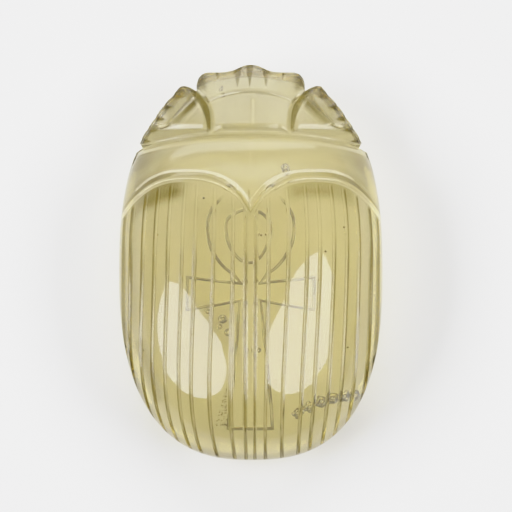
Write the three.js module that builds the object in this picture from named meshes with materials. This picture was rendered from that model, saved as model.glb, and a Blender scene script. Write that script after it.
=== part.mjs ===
// Scarab amulet: one carved solid of clear pale glass with a flat underside, in millimetres.
// X runs across the beetle, Y runs from tail to head and Z rises from the underside.
import * as THREE from "three";

// The body oval at its widest level, and the dome that rises from it.
const BODY = { halfWidth: 16.55, halfLength: 24, middleY: -1, squareness: 2.45 };
const WIDEST_Z = 4.5;
const DOME_HEIGHT = 12.3;
const DOME_ROUNDNESS = 1.1;
const DROOP = { fromY: 4, rate: 0.08, power: 1.5 }; // the front of the dome falls faster than the back

// Arched lines across each half, highest at crestX from the axis.
const ELYTRA_RIM = {
  crestX: 8.12, crestY: 10.68, innerDrop: 3.85, innerPower: 2.38, outerDrop: 4.26, outerPower: 2.56,
};
const PRONOTUM_BACK = {
  crestX: 8.0, crestY: 11.67, innerDrop: 3.55, innerPower: 2.2, outerDrop: 4.7, outerPower: 3,
};
const ARCH_END_X = 16;
const PRONOTUM_FRONT = { y: 15.5, drop: 1.59, halfWidth: 13.96, power: 2.6 };

// Wing cases: nine grooves a side, measured from the axis at mid body, and the seam between the cases.
const STRIAE = [2.22, 4.67, 7.02, 8.63, 10.41, 12.06, 13.58, 15.1, 16.04];
const STRIA = { halfWidth: 0.24, depth: 0.2 };
// The grooves lean towards +X as they run forward, and draw together near the tail.
const STRIA_LEAN = { slope: 0.04, onset: 4, sidePower: 6, power: 0.7 };
const TAIL_PINCH = { share: 0.14, sidePower: 6, power: 5 };
const SEAM = { grooveX: 0.48, grooveDepth: 0.28, edgeX: 0.82 };
const SIDE_STATIONS = [0.988, 0.997, 1]; // columns past the last groove, as shares of the half width
const FIELD_ROWS = 17;
const FIELD_SPACING = 1.6; // rows crowd towards the tail, where the dome falls steeply

// Rows between the wing cases and the head: distance from a guide line, and the relief there.
const RIM_PROFILE = [[-0.78, 0], [-0.58, -0.12], [-0.25, 0.16], [0, 0]];
const GROOVE_DEPTH = 0.45;
const PRONOTUM_RISE = 0.28;
const PRONOTUM_SHOULDER = 0.4;
const PRONOTUM_ROWS = 7;

// Head: a sloping plate with a raised front rim, flanked by two serrated side plates.
const PLATE_GROOVE = { back: [5.08, 16.5], front: [6.85, 21.6], depth: 0.5, halfWidth: 0.5 };
const HEAD_OUTLINE = [
  [0, 25], [1.27, 24.7], [1.84, 24.25], [2.4, 24], [5.7, 24], [6.1, 23.6], [6.6, 22.1], PLATE_GROOVE.front,
  [7.7, 22], [8.3, 22.3], [9.5, 21.1], [11.15, 19.6], [12.5, 18.1], [13.5, 16.6], [14.1, 15.15],
];
const HEAD = { backZ: 10.7, slope: 0.57, sideZ: 5.3, halfWidth: 14.1, power: 2.4 };
const JUNCTION = { beyondPronotum: 0.43, depth: 0.35, sideInset: 0.4 };
const PLATE_BACK_SHARE = 0.13; // where the plates start, from the junction to the front
const FRONT_RIM = { y: 21.2, blend: 0.2, rise: 0.3 };
const CENTRE_RIDGE = { halfWidth: 0.35, rise: 0.2 };
const SIDE_PLATE = { rise: 0.35, ridgeFront: [6.3, 19.5], ridgeBack: [10.9, 15.5], blend: 0.6 };
const HEAD_ROWS = 9;
const HEAD_EDGE = { inset: 0.4, wallInset: 0.1, wallDrop: 0.3 };

// Side wall: share of the way in from the widest outline to the plinth's oval, and height.
const PLINTH = { halfWidth: 14.9, halfLength: 22.6, squareness: 2.5 };
const WALL = [[0.12, 3.9], [0.75, 2.9], [0.85, 2.0], [0.6, 1.2], [0.6, 0.4], [0.8, 0]];
const BASE_BORDER = { share: 0.85, spacing: 1.8 }; // a ring of wider-spaced points inside the base's edge

// Ankh outline engraved in the underside as a V-shaped groove.
const ENGRAVING = { halfWidth: 0.25, depth: 0.35 };
const LOOP = { y: 3.4, halfWidth: 4.5, top: 4.7, bottom: 5.4, neckX: 1.9 };
const EYE = { y: 3.9, halfWidth: 2.37, top: 2.1, bottom: 4.1 };
const ARM = { x: 6.25, topY: -1.88, bottomY: -5.56, innerX: 1.05, innerTopY: -2.53, innerBottomY: -4.55 };
const STEM = { waistX: 1.4, waistY: -9, footX: 2.35, footY: -18.5 };
const LOOP_STEPS = 14;
const EYE_STEPS = 24;

const { abs, PI, sin, cos, sign, sqrt, hypot } = Math;
const mix = (a, b, share) => a + (b - a) * share;
const smooth = (edge0, edge1, value) => THREE.MathUtils.smoothstep(value, edge0, edge1);

// Half width of the body at y.
function bodyX(y) {
  const share = 1 - abs((y - BODY.middleY) / BODY.halfLength) ** BODY.squareness;
  return BODY.halfWidth * share ** (1 / BODY.squareness);
}

function tailY(x) {
  const share = 1 - abs(x / BODY.halfWidth) ** BODY.squareness;
  return BODY.middleY - BODY.halfLength * share ** (1 / BODY.squareness);
}

function archY(x, arch) {
  const out = abs(x) - arch.crestX;
  if (out < 0) return arch.crestY - arch.innerDrop * (-out / arch.crestX) ** arch.innerPower;
  return arch.crestY - arch.outerDrop * (out / (ARCH_END_X - arch.crestX)) ** arch.outerPower;
}

function pronotumFrontY(x) {
  const { y, drop, halfWidth, power } = PRONOTUM_FRONT;
  return y - drop * (abs(x) / halfWidth) ** power;
}

// Dome height: an ellipsoid in the middle that squares up towards the body oval.
function domeZ(x, y) {
  const droop = y > DROOP.fromY ? DROOP.rate * (y - DROOP.fromY) ** DROOP.power : 0;
  const across = abs(x) / BODY.halfWidth;
  const along = abs(y + droop * (1 - across ** 2) - BODY.middleY) / BODY.halfLength;
  const round = across ** 2 + along ** 2;
  const square = (across ** BODY.squareness + along ** BODY.squareness) ** (2 / BODY.squareness);
  const out = Math.min(1, mix(round, square, square));
  return WIDEST_Z + DOME_HEIGHT * sqrt(1 - out ** DOME_ROUNDNESS);
}

// Columns of the carved top, as shares of the half width, with the depth that each one is cut.
function halfColumns() {
  const columns = [[0, 0], [SEAM.grooveX, SEAM.grooveDepth], [SEAM.edgeX, 0]];
  for (const x of STRIAE)
    columns.push([x - STRIA.halfWidth, 0], [x, STRIA.depth], [x + STRIA.halfWidth, 0]);
  return [
    ...columns.map(([x, cut]) => ({ share: x / BODY.halfWidth, cut })),
    ...SIDE_STATIONS.map((share) => ({ share, cut: 0 })),
  ];
}

// Sideways shift of the grooves: none at the seam, at the side edge or at either end.
function striaLean(s, y, along) {
  const across = Math.min(1, STRIA_LEAN.onset * s) * (1 - s ** STRIA_LEAN.sidePower);
  return STRIA_LEAN.slope * (y - BODY.middleY) * across * sin(PI * along ** STRIA_LEAN.power);
}

function wingCaseRow(columns, along) {
  return columns.map(({ share, cut }) => {
    const s = abs(share);
    const pinch = TAIL_PINCH.share * (1 - s ** TAIL_PINCH.sidePower);
    const endX = BODY.halfWidth * share * (1 - pinch);
    const rimFoot = guidePoint(share, (x) => archY(x, ELYTRA_RIM) + RIM_PROFILE[0][0]);
    const y = mix(tailY(endX), rimFoot[1], along);
    const reach = y > BODY.middleY ? bodyX(y) : BODY.halfWidth;
    const x = share * reach * (1 - pinch * (1 - along) ** TAIL_PINCH.power) + striaLean(s, y, along);
    const onEdge = along === 0 || s === 1;
    return [x, y, onEdge ? WIDEST_Z : domeZ(x, y) - cut];
  });
}

// Where a column meets a guide line that crosses the body.
function guidePoint(share, lineY) {
  const y = lineY(share * bodyX(lineY(share * ARCH_END_X)));
  return [share * bodyX(y), y];
}

// A row that follows a guide line, with one relief height all along it.
function guideRow(columns, lineY, relief) {
  return columns.map(({ share }) => {
    const [x, y] = guidePoint(share, lineY);
    return [x, y, abs(share) === 1 ? WIDEST_Z : domeZ(x, y) + relief];
  });
}

function bodyRows(columns) {
  const rows = [];
  for (let i = 0; i <= FIELD_ROWS; i++)
    rows.push(wingCaseRow(columns, (i / FIELD_ROWS) ** FIELD_SPACING));
  for (const [offset, relief] of RIM_PROFILE.slice(1))
    rows.push(guideRow(columns, (x) => archY(x, ELYTRA_RIM) + offset, relief));
  const between = (x, share) => mix(archY(x, ELYTRA_RIM), archY(x, PRONOTUM_BACK), share);
  rows.push(guideRow(columns, (x) => between(x, 0.5), -GROOVE_DEPTH));
  rows.push(guideRow(columns, (x) => between(x, 1), 0));
  for (let i = 0; i <= PRONOTUM_ROWS; i++) {
    const line = (x) => {
      const back = archY(x, PRONOTUM_BACK) + PRONOTUM_SHOULDER;
      return mix(back, pronotumFrontY(x) - PRONOTUM_SHOULDER, i / PRONOTUM_ROWS);
    };
    rows.push(guideRow(columns, line, PRONOTUM_RISE));
  }
  rows.push(guideRow(columns, pronotumFrontY, 0));
  return rows;
}

// One point of the head's outline for each column of a half: each corner takes a column, in order.
function headFront(columns) {
  const lastCorner = HEAD_OUTLINE.length - 1;
  const taken = [];
  HEAD_OUTLINE.forEach(([x], corner) => {
    const near = columns.findIndex(({ share }) => share * HEAD.halfWidth >= x - STRIA.halfWidth);
    const free = corner ? taken[corner - 1] + 1 : 0;
    taken.push(Math.min(columns.length - 1 - (lastCorner - corner), Math.max(free, near)));
  });
  taken[lastCorner] = columns.length - 1;
  return columns.map((_, column) => {
    const next = Math.max(1, taken.findIndex((at) => at >= column));
    const share = (column - taken[next - 1]) / (taken[next] - taken[next - 1]);
    const [[x0, y0], [x1, y1]] = [HEAD_OUTLINE[next - 1], HEAD_OUTLINE[next]];
    return [mix(x0, x1, share), mix(y0, y1, share)];
  });
}

// Distance outwards from the groove between the centre plate and a side plate.
function beyondPlateGroove(side, y) {
  const [backX, backY] = PLATE_GROOVE.back;
  const [frontX, frontY] = PLATE_GROOVE.front;
  return side - mix(backX, frontX, (y - backY) / (frontY - backY));
}

function headRelief(x, y) {
  const side = abs(x);
  const fromGroove = beyondPlateGroove(side, y);
  const groove = -PLATE_GROOVE.depth * (1 - smooth(0, PLATE_GROOVE.halfWidth, abs(fromGroove)));
  if (fromGroove < 0) {
    const ridge = CENTRE_RIDGE.rise * (1 - smooth(0, CENTRE_RIDGE.halfWidth, side));
    const rim = smooth(FRONT_RIM.y - FRONT_RIM.blend, FRONT_RIM.y + FRONT_RIM.blend, y);
    return groove + mix(ridge, FRONT_RIM.rise, rim);
  }
  const [x0, y0] = SIDE_PLATE.ridgeFront;
  const [x1, y1] = SIDE_PLATE.ridgeBack;
  const beyond = ((side - x0) * (y0 - y1) + (y - y0) * (x1 - x0)) / hypot(x1 - x0, y1 - y0);
  return groove + SIDE_PLATE.rise * smooth(-SIDE_PLATE.blend, 0, beyond);
}

function headZ(x, y) {
  const ridge = HEAD.backZ - HEAD.slope * (y - PRONOTUM_FRONT.y);
  return mix(ridge, HEAD.sideZ, Math.min(1, abs(x) / HEAD.halfWidth) ** HEAD.power);
}

// Behind the plates the columns close in, so that one of them runs down each groove between the plates.
function plateBackX(frontX) {
  const [grooveBack, grooveFront] = [PLATE_GROOVE.back[0], PLATE_GROOVE.front[0]];
  const side = abs(frontX);
  if (side < grooveFront) return (frontX * grooveBack) / grooveFront;
  const outer = (side - grooveFront) / (HEAD.halfWidth - grooveFront);
  return sign(frontX) * mix(grooveBack, HEAD.halfWidth - JUNCTION.sideInset, outer);
}

function headRows(columns) {
  const middle = (columns.length - 1) / 2;
  const fronts = headFront(columns.slice(middle));
  const front = columns.map(({ share }, i) => {
    const [x, y] = fronts[abs(i - middle)];
    return [sign(share) * x, y];
  });
  const back = columns.map(({ share }) => {
    const x = share * (HEAD.halfWidth - JUNCTION.sideInset);
    return [x, pronotumFrontY(x) + JUNCTION.beyondPronotum];
  });
  const insetBy = (distance) => front.map(([x, y], i) => {
    const share = distance / hypot(x - back[i][0], y - back[i][1]);
    return [mix(x, back[i][0], share), mix(y, back[i][1], share)];
  });
  const edge = insetBy(HEAD_EDGE.inset);
  const backSide = back.at(-1)[0];
  const backZ = (x, y) => (abs(x) < backSide ? headZ(x, y) - JUNCTION.depth : WIDEST_Z);
  const rows = [back.map(([x, y]) => [x, y, backZ(x, y)])];
  for (let row = 0; row <= HEAD_ROWS; row++) {
    const forward = row / HEAD_ROWS;
    rows.push(edge.map(([edgeX, edgeY], i) => {
      const x = mix(plateBackX(front[i][0]), edgeX, forward);
      const y = mix(back[i][1], edgeY, mix(PLATE_BACK_SHARE, 1, forward));
      return [x, y, headZ(x, y) + headRelief(x, y)];
    }));
  }
  rows.push(insetBy(HEAD_EDGE.wallInset).map(([x, y]) => [x, y, headZ(x, y) - HEAD_EDGE.wallDrop]));
  rows.push(front.map(([x, y]) => [x, y, WIDEST_Z]));
  return rows;
}

// The boundary loop of the carved top, anticlockwise from above, as indices into the grid.
function gridBoundary(rowCount, columnCount) {
  const loop = [];
  for (let column = 0; column < columnCount; column++) loop.push(column);
  for (let row = 1; row < rowCount; row++) loop.push(row * columnCount + columnCount - 1);
  const frontRow = (rowCount - 1) * columnCount;
  for (let column = columnCount - 2; column >= 0; column--) loop.push(frontRow + column);
  for (let row = rowCount - 2; row > 0; row--) loop.push(row * columnCount);
  return loop;
}

// Moves a point of the widest outline a share of the way in to the plinth's oval, towards the middle.
function towardsPlinth([x, y], share) {
  const dy = y - BODY.middleY;
  const power = PLINTH.squareness;
  const across = abs(x / PLINTH.halfWidth) ** power;
  const along = abs(dy / PLINTH.halfLength) ** power;
  const scale = mix(1, (across + along) ** (-1 / power), share);
  return [x * scale, BODY.middleY + dy * scale];
}

// A point of an egg-shaped loop, its turn counted clockwise from the top.
function eggPoint(egg, turn) {
  const height = cos(turn) > 0 ? egg.top : egg.bottom;
  return [egg.halfWidth * sin(turn), egg.y + height * cos(turn)];
}

function mirrored(points) {
  return [...points, ...points.filter(([x]) => x > 0).reverse().map(([x, y]) => [-x, y])];
}

// Half of the ankh's outline on the +X side, from the top of the loop down to the foot.
function ankhHalf() {
  const neck = Math.asin(LOOP.neckX / LOOP.halfWidth);
  const points = [];
  for (let i = 0; i <= LOOP_STEPS; i++) {
    const turn = ((PI - neck) * i) / LOOP_STEPS;
    points.push(eggPoint(LOOP, turn));
  }
  return [
    ...points, [ARM.innerX, ARM.innerTopY], [ARM.x, ARM.topY], [ARM.x, ARM.bottomY],
    [ARM.innerX, ARM.innerBottomY], [STEM.waistX, STEM.waistY], [STEM.footX, STEM.footY],
  ];
}

function eyeLoop() {
  return Array.from({ length: EYE_STEPS }, (_, i) => {
    const turn = (2 * PI * i) / EYE_STEPS;
    return eggPoint(EYE, turn);
  });
}

// Moves each corner of a closed clockwise loop out by a distance, on the bisector of its two sides.
function offsetLoop(loop, distance) {
  return loop.map(([x, y], i) => {
    const [x0, y0] = loop.at(i - 1);
    const [x1, y1] = loop[(i + 1) % loop.length];
    const before = new THREE.Vector2(y0 - y, x - x0).normalize();
    const after = new THREE.Vector2(y - y1, x1 - x).normalize();
    const out = before.clone().add(after);
    out.multiplyScalar(distance / (1 + before.dot(after)));
    return [x + out.x, y + out.y];
  });
}

class SolidBuilder {
  positions = [];
  triangles = [];

  add([x, y, z]) {
    this.positions.push(x, y, z);
    return this.positions.length / 3 - 1;
  }

  point(index) {
    return this.positions.slice(3 * index, 3 * index + 3);
  }

  // A strip of quads from one closed ring to the next one down, facing out when both run anticlockwise.
  strip(upper, lower) {
    upper.forEach((a, i) => {
      const next = (i + 1) % upper.length;
      this.triangles.push(a, lower[i], lower[next], a, lower[next], upper[next]);
    });
  }

  // A flat face that looks down, with holes, on rings of indices.
  floor(ring, holes) {
    const flat = (indices) => indices.map((index) => new THREE.Vector2(...this.point(index).slice(0, 2)));
    const all = [ring, ...holes].flat();
    for (const [a, b, c] of THREE.ShapeUtils.triangulateShape(flat(ring), holes.map(flat)))
      this.triangles.push(all[a], all[c], all[b]);
  }

  // A flat border that looks down, from a ring of indices to a smaller one with points further apart.
  border(ring) {
    const corners = [0];
    ring.forEach((index, i) => {
      const [x, y] = this.point(ring[corners.at(-1)]);
      const [nextX, nextY] = this.point(index);
      if (hypot(nextX - x, nextY - y) > BASE_BORDER.spacing) corners.push(i);
    });
    const inner = corners.map((corner) => {
      const [x, y, z] = this.point(ring[corner]);
      return this.add([x * BASE_BORDER.share, mix(BODY.middleY, y, BASE_BORDER.share), z]);
    });
    corners.forEach((corner, i) => {
      const end = corners[i + 1] ?? ring.length;
      for (let at = corner; at < end; at++)
        this.triangles.push(inner[i], ring[(at + 1) % ring.length], ring[at]);
      this.triangles.push(inner[i], inner[(i + 1) % inner.length], ring[end % ring.length]);
    });
    return inner;
  }

  geometry() {
    const geometry = new THREE.BufferGeometry();
    geometry.setAttribute("position", new THREE.Float32BufferAttribute(this.positions, 3));
    geometry.setIndex(this.triangles);
    geometry.computeVertexNormals();
    return geometry;
  }
}

function addCarvedTop(solid, rows) {
  const count = rows[0].length;
  rows.flat().forEach((point) => solid.add(point));
  for (let row = 0; row < rows.length - 1; row++)
    for (let column = 0; column < count - 1; column++) {
      const a = row * count + column;
      const [b, c, d] = [a + 1, a + count + 1, a + count];
      const rising = column < (count - 1) / 2;
      solid.triangles.push(...(rising ? [a, b, c, a, c, d] : [a, b, d, b, c, d]));
    }
  return gridBoundary(rows.length, count);
}

function addWall(solid, widest) {
  let ring = widest;
  for (const [share, z] of WALL) {
    const lower = widest.map((index) => solid.add([...towardsPlinth(solid.point(index), share), z]));
    solid.strip(ring, lower);
    ring = lower;
  }
  return ring;
}

// A V-shaped groove along a closed loop in the underside: returns its outer and inner lips.
function addEngraving(solid, loop) {
  const lip = (distance) => offsetLoop(loop, distance).map(([x, y]) => solid.add([x, y, 0]));
  const outer = lip(ENGRAVING.halfWidth);
  const bottom = loop.map(([x, y]) => solid.add([x, y, ENGRAVING.depth]));
  const inner = lip(-ENGRAVING.halfWidth);
  solid.strip(bottom, outer);
  solid.strip(inner, bottom);
  return { outer, inner };
}

function carveScarab() {
  const half = halfColumns();
  const left = half.slice(1).reverse().map(({ share, cut }) => ({ share: -share, cut }));
  const columns = [...left, ...half];
  const solid = new SolidBuilder();
  const widest = addCarvedTop(solid, [...bodyRows(columns), ...headRows(columns)]);
  const base = addWall(solid, widest);
  const ankh = addEngraving(solid, mirrored(ankhHalf()));
  const eye = addEngraving(solid, eyeLoop());
  solid.floor(solid.border(base), [ankh.outer]);
  solid.floor(ankh.inner, [eye.outer]);
  solid.floor(eye.inner, []);
  return solid.geometry();
}

const glass = new THREE.MeshStandardMaterial({ color: 0xc9bf8e, roughness: 0.08, metalness: 0 });
const scarab = new THREE.Mesh(carveScarab(), glass);
scarab.name = "scarab";

const amulet = new THREE.Group();
amulet.add(scarab);
export default amulet;
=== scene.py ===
"""Scarab amulet of clear pale natural glass, lying flat, with an ankh outline cut in its underside.

The carved top is one grid whose columns follow the grooves of the wing cases and whose rows follow
the lines that cross the body. A side wall with plain legs and the engraved base close it to one solid.
Lengths are in millimetres until a mesh is made.
"""

import math
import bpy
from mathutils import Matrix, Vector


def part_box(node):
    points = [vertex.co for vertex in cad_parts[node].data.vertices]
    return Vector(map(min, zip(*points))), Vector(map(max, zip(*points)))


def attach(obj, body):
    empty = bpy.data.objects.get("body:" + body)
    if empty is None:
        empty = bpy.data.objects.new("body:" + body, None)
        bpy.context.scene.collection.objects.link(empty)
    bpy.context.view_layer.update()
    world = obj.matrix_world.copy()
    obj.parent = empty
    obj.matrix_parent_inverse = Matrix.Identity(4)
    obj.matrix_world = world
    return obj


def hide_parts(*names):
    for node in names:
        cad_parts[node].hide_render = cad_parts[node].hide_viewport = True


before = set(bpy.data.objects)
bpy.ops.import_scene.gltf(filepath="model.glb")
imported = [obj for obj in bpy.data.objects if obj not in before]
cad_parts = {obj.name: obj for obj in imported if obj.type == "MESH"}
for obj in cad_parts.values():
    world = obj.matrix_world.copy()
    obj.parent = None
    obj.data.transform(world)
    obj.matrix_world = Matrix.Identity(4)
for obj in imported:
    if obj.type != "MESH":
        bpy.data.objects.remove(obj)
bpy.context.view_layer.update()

from types import SimpleNamespace as Values

import bpy
import numpy as np
from mathutils import Quaternion, Vector
from mathutils.geometry import tessellate_polygon

MM = 0.001
LOW, HIGH = (np.array(corner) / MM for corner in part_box("scarab"))

# The body oval at its widest level, a little fuller than the plain solid, and the dome that rises from it.
FULLER = Values(side=0.17, tail=0.15)
HALF_WIDTH = HIGH[0] + FULLER.side
MIDDLE_FROM_TAIL = 24.0
MIDDLE_Y = LOW[1] + MIDDLE_FROM_TAIL
HALF_LENGTH = MIDDLE_Y - LOW[1] + FULLER.tail
SQUARENESS = Values(left=2.5, right=2.62, blend=3.0)
WIDEST_Z = 4.5
DOME_HEIGHT = HIGH[2] - WIDEST_Z
DOME_ROUNDNESS = 1.1
DROOP = Values(from_y=4.0, rate=0.08, power=1.5)
SLOPE_STEP = 0.01
STEEPEST = 4

# Arched lines across each half, highest at crest_x from the axis.
ELYTRA_RIM = Values(
    crest_x=8.12, crest_y=10.68, notch=1.3,
    inner_drop=3.85, inner_power=2.38, outer_drop=4.26, outer_power=2.56,
)
PRONOTUM_BACK = Values(
    crest_x=8.0, crest_y=11.67, notch=0.2,
    inner_drop=3.55, inner_power=3.1, outer_drop=4.7, outer_power=3.0,
)
ARCH_END_X = 16.0
ARCH_NOTCH_REACH = 2.2
PRONOTUM_FRONT = Values(y=15.5, drop=1.59, half_width=13.96, power=2.6)

# Wing cases: nine rounded grooves a side, measured from the axis at mid body.
STRIAE = (2.22, 4.67, 7.02, 8.63, 10.41, 12.06, 13.58, 15.1, 16.04)
STRIA = Values(half_width=0.27, middle_depth=0.13, side_depth=0.26, tail_depth=0.42)
STRIA_OFFSETS = (-1.2, -1.0, -0.8, -0.5, -0.25, 0.0, 0.25, 0.5, 0.8, 1.0, 1.2)
TAIL_CUT = Values(fade_start=0.7, fade_end=4.2)
STRIA_LEAN = Values(slope=0.04, onset=4.0, side_power=6.0, power=0.7)
TAIL_PINCH = Values(share=0.14, side_power=6.0, power=8.0)
SEAM = Values(groove_x=0.62, half_width=0.27, depth=0.16, tail_depth=0.42, edge=1.1)
GROOVE_ENDS = Values(front=(1.0, 0.985), tail=(0, 0.12))

# The beaded rim in front of the wing cases, and the pronotum's rolled edge over it.
RIM = Values(foot=0.7, crest=0.08, rise=0.11, fall=0.36, hollow=0.04, hollow_reach=0.2)
FRONT_GROOVE = Values(axis_share=0.4, share=0.6, axis_depth=0.25, depth=0.04, spread=0.45, wall_power=1.3)
ROLL = ((0, 0.8, 1), (0, 0.88, 1))
NOTCH = Values(x=-0.2, front_y=8.9, back_y=7.3, half_width=0.24, stain=0.7)
PRONOTUM = Values(rise=0.24, front_radius=0.45, front_drop=0.42)

# Painted shade and highlight, and frost. A pair of places is where something starts and is full, and a span
# is where it starts, is full, begins to end and has ended. A pair of amounts is for the tail half of the wing
# cases and their front, where the painted shade is fainter, or for the axis and the sides.
FAINT_SHADE_FRONT = (-1.0, 4.0)
# Painted shade in the seam's grooves, fainter towards the front.
SEAM_SHADE = Values(amount=(0.7, 0.2), tail=1.0, frost=0.15)
# Painted shade on the grooves' walls and a painted highlight along their floors; at the tail edge the grooves
# darken all across.
STRIA_SHADING = Values(
    wall_at=0.8, wall_reach=0.4, inner_wall=0.6, walls=(0.6, 0.25), side_walls=1.0, side=(0.25, 0.6),
    inside=(0.35, 0.0), inside_reach=0.9, floor=(0.15, 0.3), floor_reach=0.45,
    tail=1.5, tail_reach=(0.4, 1.2), frost=0.3, tail_frost=0.1,
)
GROOVE_EDGE = 1.01
# Painted shade towards the sides of the wing cases.
SIDE_SHADE = Values(amount=0.55, side=(0.78, 0.96))
# Painted shade behind the rims of the wing cases.
BEHIND_RIM_SHADE = Values(
    reach=(3.5, 1.6), left=0.65, left_span=(-15.5, -13.0, -10.0, -7.0),
    right=0.5, right_span=(3.5, 5.5, 12.0, 14.5),
)
# Painted shade on the groove's wall in front of the pronotum, and on the roll a painted highlight near the
# axis and painted shade at the sides.
FRONT_GROOVE_SHADE = Values(amount=(0.3, 0.95), side=(0.5, 0.85), start=(0.02, 0.15), end=(0.04, -0.06))
ROLL_LIGHT_AND_SHADE = Values(amount=(-0.2, 0.45), side=(0.6, 0.85))
# Painted shade on the pronotum's sides and front, and painted highlight near its back and along its front
# edge.
PRONOTUM_SHADING = Values(
    sides=0.715, side=(0.55, 0.88), front=0.16, front_at=0.85, front_reach=0.45,
    back=-0.12, back_at=0.25, back_reach=0.3, edge=-0.1,
)
FROST = Values(
    rim=0.0, front_groove=0.1, pronotum=0.28, pronotum_edge=0.35, ledge=0.5, head=0.4, head_edge=1.0, wall=0.3
)
# How strongly the hollows of each part get painted shade.
SHADE_GAIN = Values(field=0.15, front_groove=0.1, pronotum_edge=0.2, ledge=0.3, head=0.6)

# Painted shade, darker in hollows, and painted highlight on what stands proud; then a wash of painted shade
# with random streaks.
HOLLOW = Values(reach=0.25, gain=6.0, polish=0.1, most=0.6, above_edge=(0.3, 1.5))
# Painted shade: darker on the left, along the middle of the wing cases and towards their tail edge; random
# streaks on top.
SHADE_AND_STREAKS = Values(
    middle=0.06, tilt=-0.008, wings=0.16, wings_side=(9.5, 6.5), wings_front=(8.5, 7.0),
    edge=0.7, edge_out=(0.86, 1.0), edge_back=(-1.0, -10.0), streaks=0.006, streak_reach=4, seed=11,
)
# Darker strokes on the wing cases: two ends, half width and amount. The two behind the rims are painted
# shade.
DARK_STROKES = (
    ((-2.9, -21.2), (-2.6, -16.8), 0.9, 0.1), ((3.3, -21.2), (3.1, -15.0), 0.7, 0.1),
    ((-12.5, 7.2), (-9.2, 8.6), 1.2, 0.25), ((6.0, 8.6), (9.5, 8.6), 1.1, 0.2),
    ((-13.8, -10.5), (-11.6, -17.0), 1.4, 0.45), ((13.2, -8.0), (12.0, -15.0), 1.0, 0.2),
)

# Head. Its outline runs from the front tip back, round the centre plate, the notch and a side plate.
NOTCH_POINT = (6.85, 21.6)
HEAD_OUTLINE = (
    (0, 25), (0.8, 24.9), (1.5, 24.6), (2.1, 24.3), (2.8, 24.1), (3.8, 24), (5.5, 24), (6.2, 23.75),
    (6.65, 23.2), (6.85, 22.4), NOTCH_POINT, (7.6, 22.05), (8.3, 22.27), (8.9, 22.2), (9.55, 21.45),
    (11.15, 19.65), (12.2, 18.1), (13.3, 16.6), (14.1, 15.15),
)
HEAD = Values(
    back_z=10.9, slope=0.58, side_z=5.3, half_width=14.1, power=2.4, edge_radius=0.38, least_wall=0.05
)
JUNCTION = Values(
    beyond=0.43, depth=0.22, side_inset=0.4, foot=0.7, groove=0.28, lip=0.06, lip_at=0.4, lip_reach=0.16
)
VALLEY = Values(
    back=(4.95, 16.45), front_y=21.6, past=1.2, spread=1.9, power=3.5,
    depth=0.45, inner=0.45, outer=1.1, start=(16.2, 17.0),
)
PLATE_BACK = Values(y=17.1, curl=0.8, curl_reach=1.6, centre_rise=0.5, side_rise=0.42, edge=0.3, tilt=0.1)
FRONT_RIM = Values(y=21.2, bend=0.045, rise=0.5, width=0.7, fall=0.27)
PLATE_RIDGE = Values(x=0.3, half_width=0.35, crest=0.1, rise=0.07, start=17.3, end=20.6, ends=0.3)
# Cuts in the centre plate's front rim: x, back and front ends, and half width at the front.
RIM_CUTS = (
    (-4.2, 22.9, 24.0, 0.35), (-1.68, 22.0, 24.3, 0.6), (-0.12, 22.0, 24.5, 0.5), (1.95, 22.0, 24.3, 0.6),
    (4.15, 23.2, 24.0, 0.35),
)
# Its last amount is painted shade in the cuts.
RIM_CUT = Values(depth=0.22, taper=0.7, least=0.01, run_in=0.5, dirt=0.9)
FACET = Values(
    apex=(6.35, 19.6), corner=(9.6, 16.3), lip=0.05, lip_reach=0.18, hollow=0.16, reach=0.9,
    crest=0.5, crest_rise=(0.5, 2.2),
)
SERRATIONS = Values(
    sites=(21.2, 19.9, 18.4, 17.0, 15.6), depth=0.13, length=1.7, slant=0.3, steep=0.2, gentle=0.8
)

# Painted shade on the head, with places measured along y, out from the axis, or beside a valley.
HEAD_SHADE = Values(all_over=0.22, ledge=0.25, plate_foot=0.1, edge=0.25, tooth=(0.1, 0.6))
VALLEY_SHADE = Values(
    amount=0.65, inner=(0.05, 0.2), outer=(1.1, 0.85), front=(16.2, 16.7), within=-0.2,
    width=(0.6, 1.15), widening=(17.0, 20.5),
)
FACET_SHADE = Values(amount=0.6, beside=(0.4, 0.9), back_share=0.5, front=(17.5, 19.5))
FRONT_SHADE = Values(amount=0.25, front=(23.4, 23.9))
CORNER_SHADE = Values(amount=0.65, side=(5.1, 6.0), front=(21.2, 22.2))
TIP_SHADE = Values(amount=0.6, beside=0.2, front=(20.4, 21.6))
RIGHT_SHADE = Values(amount=0.25, side=(7.0, 10.5), front=(17.0, 18.0))
# Painted highlights along the edges that stand proud of the head.
EDGE_HIGHLIGHT = Values(
    amount=0.35, inner_at=-0.1, inner_reach=0.25, outer_at=1.2, outer_reach=0.2, outer_front=(17.5, 19.0),
    plate_beside=-0.4, rim=0.6, rim_rise=(0.1, 0.5), crease_reach=0.2, ridge=0.7, ridge_reach=0.25,
)

# Side wall and plinth. The wall's rows are a share of the way in to the plinth's oval and a height,
# and a leg is a band between two points of the wall, each at a y and a height.
PLINTH = Values(half_width=14.9, half_length=22.6, squareness=2.5)
WALL = (
    (0.03, 4.25), (0.1, 4.0), (0.3, 3.6), (0.55, 3.2), (0.72, 2.8), (0.78, 2.4), (0.74, 2.0),
    (0.64, 1.6), (0.6, 1.3), (0.6, 0.8), (0.61, 0.35), (0.66, 0.1), (0.72, 0.0),
)
LEGS = (((11.0, 1.5), (19.0, 3.6)), ((6.0, 1.4), (1.5, 3.8)), ((-3.5, 1.3), (-14.0, 3.7)))
LEG = Values(half_width=0.75, share=0.55, low=1.2, high=4.1)

# Ankh outline engraved in the underside.
BASE_FROST = 0.1
ENGRAVING = Values(half_width=0.16, depth=0.12, least=0.1, ends=(7.3, 6.2), frost=0.5, stain=0.6, uneven=0.6)
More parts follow.
